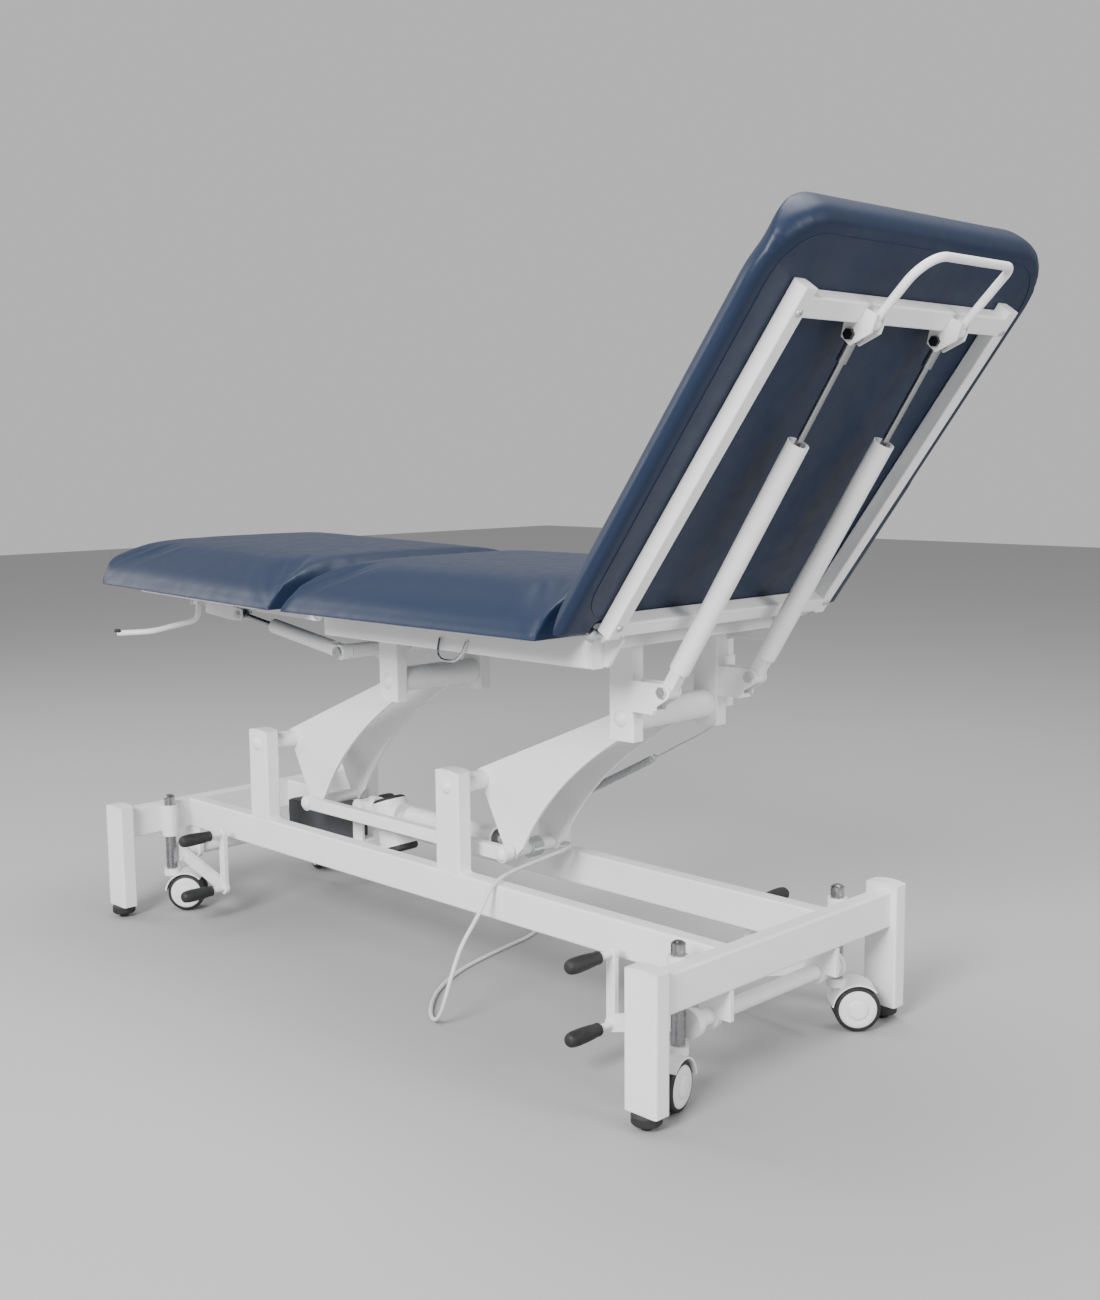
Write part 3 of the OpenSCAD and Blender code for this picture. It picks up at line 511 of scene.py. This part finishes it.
add_mains_lead()
add_handset_lead()


# ---------- cushions ----------

DECK_Z = 0.670
LEG_HINGE = at(-0.105, 0, 0.655)
LEG_TILT = math.radians(1.4)
BACK_HINGE = at(0.571, 0, 0.676)
BACK_ANGLE = math.radians(54.1)
BACK_PANEL = -0.006
BACK_LENGTH, BACK_HALF = 0.675, 0.343
BOARD_CORNER = 0.075
BACK_CORNER = 0.108
SEAT_WRAP, BACK_WRAP = 0.012, 0.024
VOXEL = 0.006
# The cover starts this far inside its CAD solid, so that it has room to swell
INSET = 0.006
# Points below this height over the flat back are stapled to the board
BOARD_TOP = 0.003
# Most that the cover swells: freely on the seat and leg pads, little on the taut backrest
SEAT_SWELL, BACK_SWELL = 0.009, 0.002
SEAT_EVENING, BACK_EVENING = 4, 10
LINING_MARGIN = 0.03
SIM_FRAMES = 20

seat_local = Matrix.Translation((0, 0, -DECK_Z))
leg_local = (Matrix.Translation((0, 0, -DECK_Z)) @ Matrix.Translation(LEG_HINGE)
             @ Matrix.Rotation(-LEG_TILT, 4, "Y") @ Matrix.Translation(-LEG_HINGE))
back_local = (Matrix.Translation((0, 0, -BACK_PANEL)) @ Matrix.Rotation(BACK_ANGLE, 4, "Y")
              @ Matrix.Translation(-BACK_HINGE))


def evaluated_points(piece):
    shown = piece.evaluated_get(bpy.context.evaluated_depsgraph_get())
    mesh = shown.to_mesh()
    found = [v.co.copy() for v in mesh.vertices]
    shown.to_mesh_clear()
    return found


def inflate(pad, cap):
    """Blows the pad up as sewn cloth held at its board; no point moves further than cap."""
    start = [v.co.copy() for v in pad.data.vertices]
    group = pad.vertex_groups.new(name="held")
    group.add([i for i, p in enumerate(start) if p.z < BOARD_TOP], 1.0, "REPLACE")
    cloth = pad.modifiers.new("Cloth", "CLOTH")
    cloth.settings.use_pressure = True
    cloth.settings.uniform_pressure_force = 4
    cloth.settings.vertex_group_mass = "held"
    cloth.settings.effector_weights.gravity = 0
    cloth.settings.quality = 4
    cloth.point_cache.frame_start = 1
    cloth.point_cache.frame_end = SIM_FRAMES
    for step in range(1, SIM_FRAMES + 1):
        scene.frame_set(step)
    moved = evaluated_points(pad)
    pad.modifiers.remove(cloth)
    pad.vertex_groups.clear()
    for vertex, a, b in zip(pad.data.vertices, start, moved):
        way = b - a
        far = way.length
        if far > 1e-9:
            vertex.co = a + way * (cap * math.tanh(far / cap) / far)
    scene.frame_set(1)


def round_corners(work, length, half, old, new):
    """Draws the two corners at the end of a pad in from radius old to the fuller radius new."""
    shift = new - old
    for vertex in work.verts:
        along = vertex.co.x - (length - new)
        across = abs(vertex.co.y) - (half - new)
        if along <= 0 or across <= 0:
            continue
        far = math.hypot(along, across)
        if across / along < shift / new:
            edge = new * far / along
        elif along / across < shift / new:
            edge = new * far / across
        else:
            middle = shift * (along + across) / far
            edge = middle + math.sqrt(middle ** 2 - 2 * shift ** 2 + old ** 2)
        vertex.co.x = length - new + along * new / edge
        vertex.co.y = math.copysign(half - new + across * new / edge, vertex.co.y)


def bullnose(work, length, half, corner, wrap, reach=0.1):
    """Rounds the back edge of a pad with a radius of wrap, drawing the panel's rim in with it."""
    for vertex in work.verts:
        z = max(vertex.co.z, 0)
        along = vertex.co.x - (length - corner)
        across = abs(vertex.co.y) - (half - corner)
        if along > 0 and across > 0:
            far = math.hypot(along, across)
            out = (along / far, across / far)
        else:
            far = max(along, across)
            out = (1, 0) if along > across else (0, 1)
        depth = max(corner - far, 0)
        if z < wrap and depth < reach:
            inward = (wrap - math.sqrt(wrap ** 2 - (wrap - z) ** 2)) * (1 - depth / reach)
            vertex.co.x -= out[0] * inward
            vertex.co.y -= math.copysign(out[1] * inward, vertex.co.y)


def remeshed(name, source):
    """A pad of even small faces in place of its CAD solid's few large ones."""
    pad = bpy.data.objects.new(name, source)
    scene.collection.objects.link(pad)
    remesh = pad.modifiers.new("Remesh", "REMESH")
    remesh.mode = "VOXEL"
    remesh.voxel_size = VOXEL
    bpy.context.view_layer.objects.active = pad
    bpy.ops.object.select_all(action="DESELECT")
    pad.select_set(True)
    bpy.ops.object.modifier_apply(modifier="Remesh")
    return pad


def add_pad(name, node, body, to_local, is_back=False):
    """A sewn cushion grown from its CAD solid; to_local puts its flat back on z = 0."""
    source = nodes[node].data.copy()
    source.transform(to_local)
    pad = remeshed(name, source)
    mesh = pad.data
    work = bmesh.new()
    work.from_mesh(mesh)
    for _ in range(4):
        bmesh.ops.smooth_vert(work, verts=work.verts, factor=0.5, use_axis_x=True,
                              use_axis_y=True, use_axis_z=True)
    work.normal_update()
    for vertex in work.verts:
        lift = min(max(vertex.co.z / 0.02, 0), 1)
        vertex.co -= vertex.normal * INSET * lift
    if is_back:
        round_corners(work, BACK_LENGTH, BACK_HALF, BOARD_CORNER, BACK_CORNER)
        bullnose(work, BACK_LENGTH, BACK_HALF, BACK_CORNER, BACK_WRAP)
    else:
        wrap_edge(work, SEAT_WRAP)
    work.to_mesh(mesh)
    work.free()
    inflate(pad, BACK_SWELL if is_back else SEAT_SWELL)
    finish_pad(pad, BACK_EVENING if is_back else SEAT_EVENING)
    mesh.transform(to_local.inverted())
    mesh.materials.clear()
    mesh.materials.append(navy)
    mesh.materials.append(under_cloth)
    smooth = pad.modifiers.new("Smooth", "SUBSURF")
    smooth.levels = 1
    smooth.render_levels = 1
    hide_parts(node)
    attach(pad, body)
    return pad


def wrap_edge(work, wrap):
    """Turns the cover round the back edge of the board with a radius of wrap."""
    for vertex in work.verts:
        out = Vector((vertex.normal.x, vertex.normal.y, 0))
        z = max(vertex.co.z, 0)
        if z < wrap and out.length > 0.3:
            inward = wrap * (1 - math.sqrt(1 - ((wrap - z) / wrap) ** 2))
            vertex.co -= out.normalized() * inward * min(1, (out.length - 0.3) / 0.4)
    work.normal_update()


def finish_pad(pad, rounds):
    """Evens the sewn surface and marks the lined part of the flat back."""
    work = bmesh.new()
    work.from_mesh(pad.data)
    top = [v for v in work.verts if v.co.z > BOARD_TOP]
    for _ in range(rounds):
        bmesh.ops.smooth_vert(work, verts=top, factor=0.4, use_axis_x=True, use_axis_y=True,
                              use_axis_z=True)
    low = Vector([min(v.co[k] for v in work.verts) for k in range(3)])
    high = Vector([max(v.co[k] for v in work.verts) for k in range(3)])
    for face in work.faces:
        spot = face.calc_center_median()
        face.smooth = True
        inside = all(low[k] + LINING_MARGIN < spot[k] < high[k] - LINING_MARGIN for k in (0, 1))
        if spot.z < BOARD_TOP and inside:
            face.material_index = 1
    work.to_mesh(pad.data)
    work.free()


add_pad("seat_pad", "seat_cushion", "upper_frame", seat_local)
add_pad("leg_pad", "leg_cushion", "leg_section", leg_local)
back_pad = add_pad("back_pad", "back_cushion", "backrest", back_local, is_back=True)
# The back of the backrest is covered in vinyl, where the other boards have a black lining
back_pad.data.materials[1] = navy


def from_back(x, y, z):
    """A point given up the backrest from its hinge, across it and towards the patient."""
    return back_local.inverted() @ Vector((x, y, z - BACK_PANEL))


def add_back_seam():
    """Sewn welt round the flat rear panel of the backrest, just inside its rounded rim."""
    half_w, top, low = 0.306, 0.638, 0.034
    corners = [(1, 1, 0.074, 0), (1, -1, 0.074, 270), (-1, -1, 0.055, 180), (-1, 1, 0.055, 90)]
    points = []
    for end, side, corner, start in corners:
        x = top - corner if end > 0 else low + corner
        y = side * (half_w - corner)
        for k in range(9):
            a = math.radians(start + 90 - k * 90 / 8)
            points.append(from_back(x + corner * math.cos(a), y + corner * math.sin(a),
                                    BACK_PANEL - 0.0002))
    points.append(points[0])
    welt = add_tube("back_seam", points, 0.0008, navy)
    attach(welt, "backrest")


add_back_seam()


# ---------- castors, grips and small hardware ----------

WHEEL_R = 0.0375
WHEEL_Z = 0.0385
TRAIL = 0.032
STEM = (0.683, 0.197)
CASTORS = {"head_near": (1, -1, -75), "head_far": (1, 1, 45),
           "foot_near": (-1, -1, 45), "foot_far": (-1, 1, 160)}
TREAD, HUB, AXLE = 0, 1, 2


def wheel_half():
    """One wheel of a twin castor: soft tread, dished hub disc and raised cap."""
    return revolve([
        (0.005, 0.005, HUB), (0.029, 0.005, HUB), (0.0295, 0.006, TREAD), (0.0345, 0.0055, TREAD),
        (0.0366, 0.0066, TREAD), (0.0374, 0.0090, TREAD), (WHEEL_R, 0.0135, TREAD),
        (0.0374, 0.0180, TREAD), (0.0366, 0.0204, TREAD), (0.0345, 0.0220, TREAD),
        (0.0312, 0.0226, TREAD), (0.0308, 0.0218, HUB), (0.0300, 0.0228, HUB),
        (0.0285, 0.0238, HUB), (0.0230, 0.0246, HUB), (0.0188, 0.0247, HUB),
        (0.0180, 0.0238, HUB), (0.0170, 0.0238, HUB), (0.0164, 0.0258, HUB),
        (0.0150, 0.0270, HUB), (0.0100, 0.0277, HUB), (0, 0.0280, HUB)], 64)


def add_wheel(name):
    side_x, side_y, heading = CASTORS[name]
    a = math.radians(heading)
    middle = at(side_x * STEM[0] + TRAIL * math.cos(a), side_y * STEM[1] + TRAIL * math.sin(a),
                WHEEL_Z)
    turn = Matrix.Translation(middle) @ Matrix.Rotation(a, 4, "Z") @ Matrix.Rotation(
        math.radians(90), 4, "X")
    flip = Matrix.Rotation(math.pi, 4, "X")
    axle = revolve([(0, -0.006, AXLE), (0.005, -0.006, AXLE), (0.005, 0.006, AXLE),
                    (0, 0.006, AXLE)], 32)
    mesh = joined("twin_wheel_" + name, [(wheel_half(), turn), (wheel_half(), turn @ flip),
                                         (axle, turn)])
    wheel = add_object("twin_wheel_" + name, mesh, black_rubber, white_cap, zinc)
    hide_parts("castor_wheel_" + name)
    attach(wheel, "castor_wheel_" + name)


for name in CASTORS:
    add_wheel(name)

PEDAL_X = 0.530
PEDAL_HEIGHTS = (0.068, 0.180)
GRIP_START = 0.200


def grip():
    """Smooth rubber sleeve, fullest past its middle and rounded at its far end."""
    rings = [(0.0062, 0.0, 0), (0.0092, 0.0, 0), (0.0102, 0.0010, 0), (0.0104, 0.0050, 0),
             (0.0098, 0.0058, 0), (0.0100, 0.0068, 0), (0.0112, 0.0180, 0), (0.0121, 0.0320, 0),
             (0.0124, 0.0460, 0), (0.0120, 0.0560, 0), (0.0108, 0.0625, 0), (0.0086, 0.0660, 0),
             (0.0050, 0.0677, 0), (0, 0.0680, 0)]
    return revolve(rings, 40)


def add_grips(end, side_x):
    places = []
    for side_y in (-1, 1):
        for z in PEDAL_HEIGHTS:
            places.append((grip(), facing(at(side_x * PEDAL_X, side_y * GRIP_START, z),
                                          (0, side_y, 0))))
    sleeves = add_object("rubber_grips_" + end, joined("rubber_grips_" + end, places), black_rubber)
    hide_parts("pedal_grips_" + end)
    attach(sleeves, "pedal_shaft_" + end)


add_grips("head", 1)
add_grips("foot", -1)


def screw_head(radius, height):
    """Round head with a round recess pressed into it."""
    return revolve([(0, 0, 0), (radius, 0, 0), (radius, height * 0.3, 0),
                    (radius * 0.86, height * 0.7, 0), (radius * 0.55, height * 0.95, 0),
                    (radius * 0.22, height * 0.95, 0), (radius * 0.18, height * 0.4, 0),
                    (0, height * 0.4, 0)], 24)


def add_screws(name, body, spots, look, radius=0.0055, height=0.003):
    parts = [(screw_head(radius, height), facing(p, d)) for p, d in spots]
    screws = add_object(name, joined(name, parts), look)
    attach(screws, body)


back_face = (back_local.inverted().to_3x3() @ Vector((0, 0, -1)))
add_screws("back_frame_screws", "backrest",
           [(from_back(x, y, -0.031), back_face) for x in (0.035, 0.543)
            for y in (-0.2465, 0.2465)], zinc)


def add_lever_tip():
    """Small oval black end piece of the leg release lever."""
    made = revolve([(0, -0.004, 0), (0.004, -0.0036, 0), (0.0062, -0.0012, 0), (0.0066, 0.0012, 0),
                    (0.0050, 0.0036, 0), (0, 0.0042, 0)], 28)
    place = facing(at(-0.672, -0.3035, 0.5885), (0, 0, 1)) @ Matrix.Diagonal((1.5, 0.8, 1, 1))
    tip = add_object("lever_tip", as_mesh("lever_tip", made, place), black_rubber)
    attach(tip, "leg_release_handle")


add_lever_tip()


# ---------- stage ----------

def add_stage():
    made, shader = new_material("pale_floor", (0.36, 0.36, 0.36), 0.8)
    mesh = bpy.data.meshes.new("floor")
    size = 12
    mesh.from_pydata([(-size, -size, 0), (size, -size, 0), (size, size, 0), (-size, size, 0)], [],
                     [(0, 1, 2, 3)])
    floor = add_object("floor", mesh, made)
    floor.location.z = -0.0005
    world = bpy.data.worlds.new("studio")
    world.use_nodes = True
    world.node_tree.nodes["Background"].inputs["Color"].default_value = (1, 1, 1, 1)
    world.node_tree.nodes["Background"].inputs["Strength"].default_value = 0.6
    scene.world = world


def add_light(name, place, target, size, power):
    data = bpy.data.lights.new(name, "AREA")
    data.shape = "DISK"
    data.size = size
    data.energy = power
    light = bpy.data.objects.new(name, data)
    scene.collection.objects.link(light)
    light.matrix_world = facing(Vector(place), Vector(place) - Vector(target))


add_stage()
add_light("key", (1.6, -4.4, 3.0), (0, 0, 0.5), 2.0, 420)
add_light("left", (-3.6, -1.6, 2.4), (0, 0, 0.5), 2.0, 60)
add_light("head", (4.6, 0.4, 2.2), (0, 0, 0.5), 1.6, 90)
add_light("top", (0.3, 0.6, 4.2), (0, 0, 0.5), 2.5, 140)
